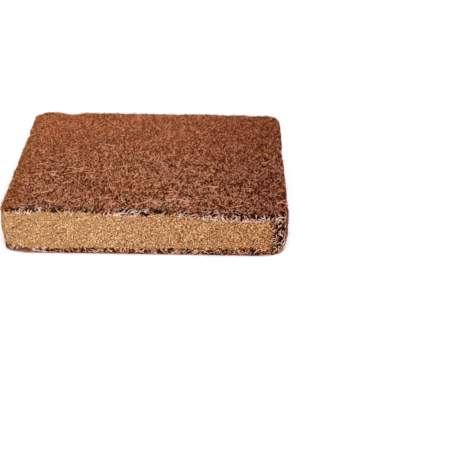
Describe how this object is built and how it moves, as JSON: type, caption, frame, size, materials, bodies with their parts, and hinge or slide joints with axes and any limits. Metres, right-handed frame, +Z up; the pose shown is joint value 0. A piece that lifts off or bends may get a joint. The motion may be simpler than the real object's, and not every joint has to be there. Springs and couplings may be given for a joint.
{
  "type": "coconut coir bale",
  "caption": "Square pressed slab of coconut coir with fibrous matted faces and tan pith sides, for soaking apart into growing medium or bedding.",
  "frame": {"origin": "centre of the flat underside, on the surface that the bale lies on", "axes": "+X along the front side to the right, +Y to the back, +Z up through the bale's thickness"},
  "size_m": [0.3, 0.3, 0.05],
  "materials": {
    "coir": "dry matted plant fibre and pressed pith, very rough, red-brown on the faces and tan on the sides"
  },
  "bodies": {
    "root": {"coir_bale": "coir"}
  },
  "joints": []
}
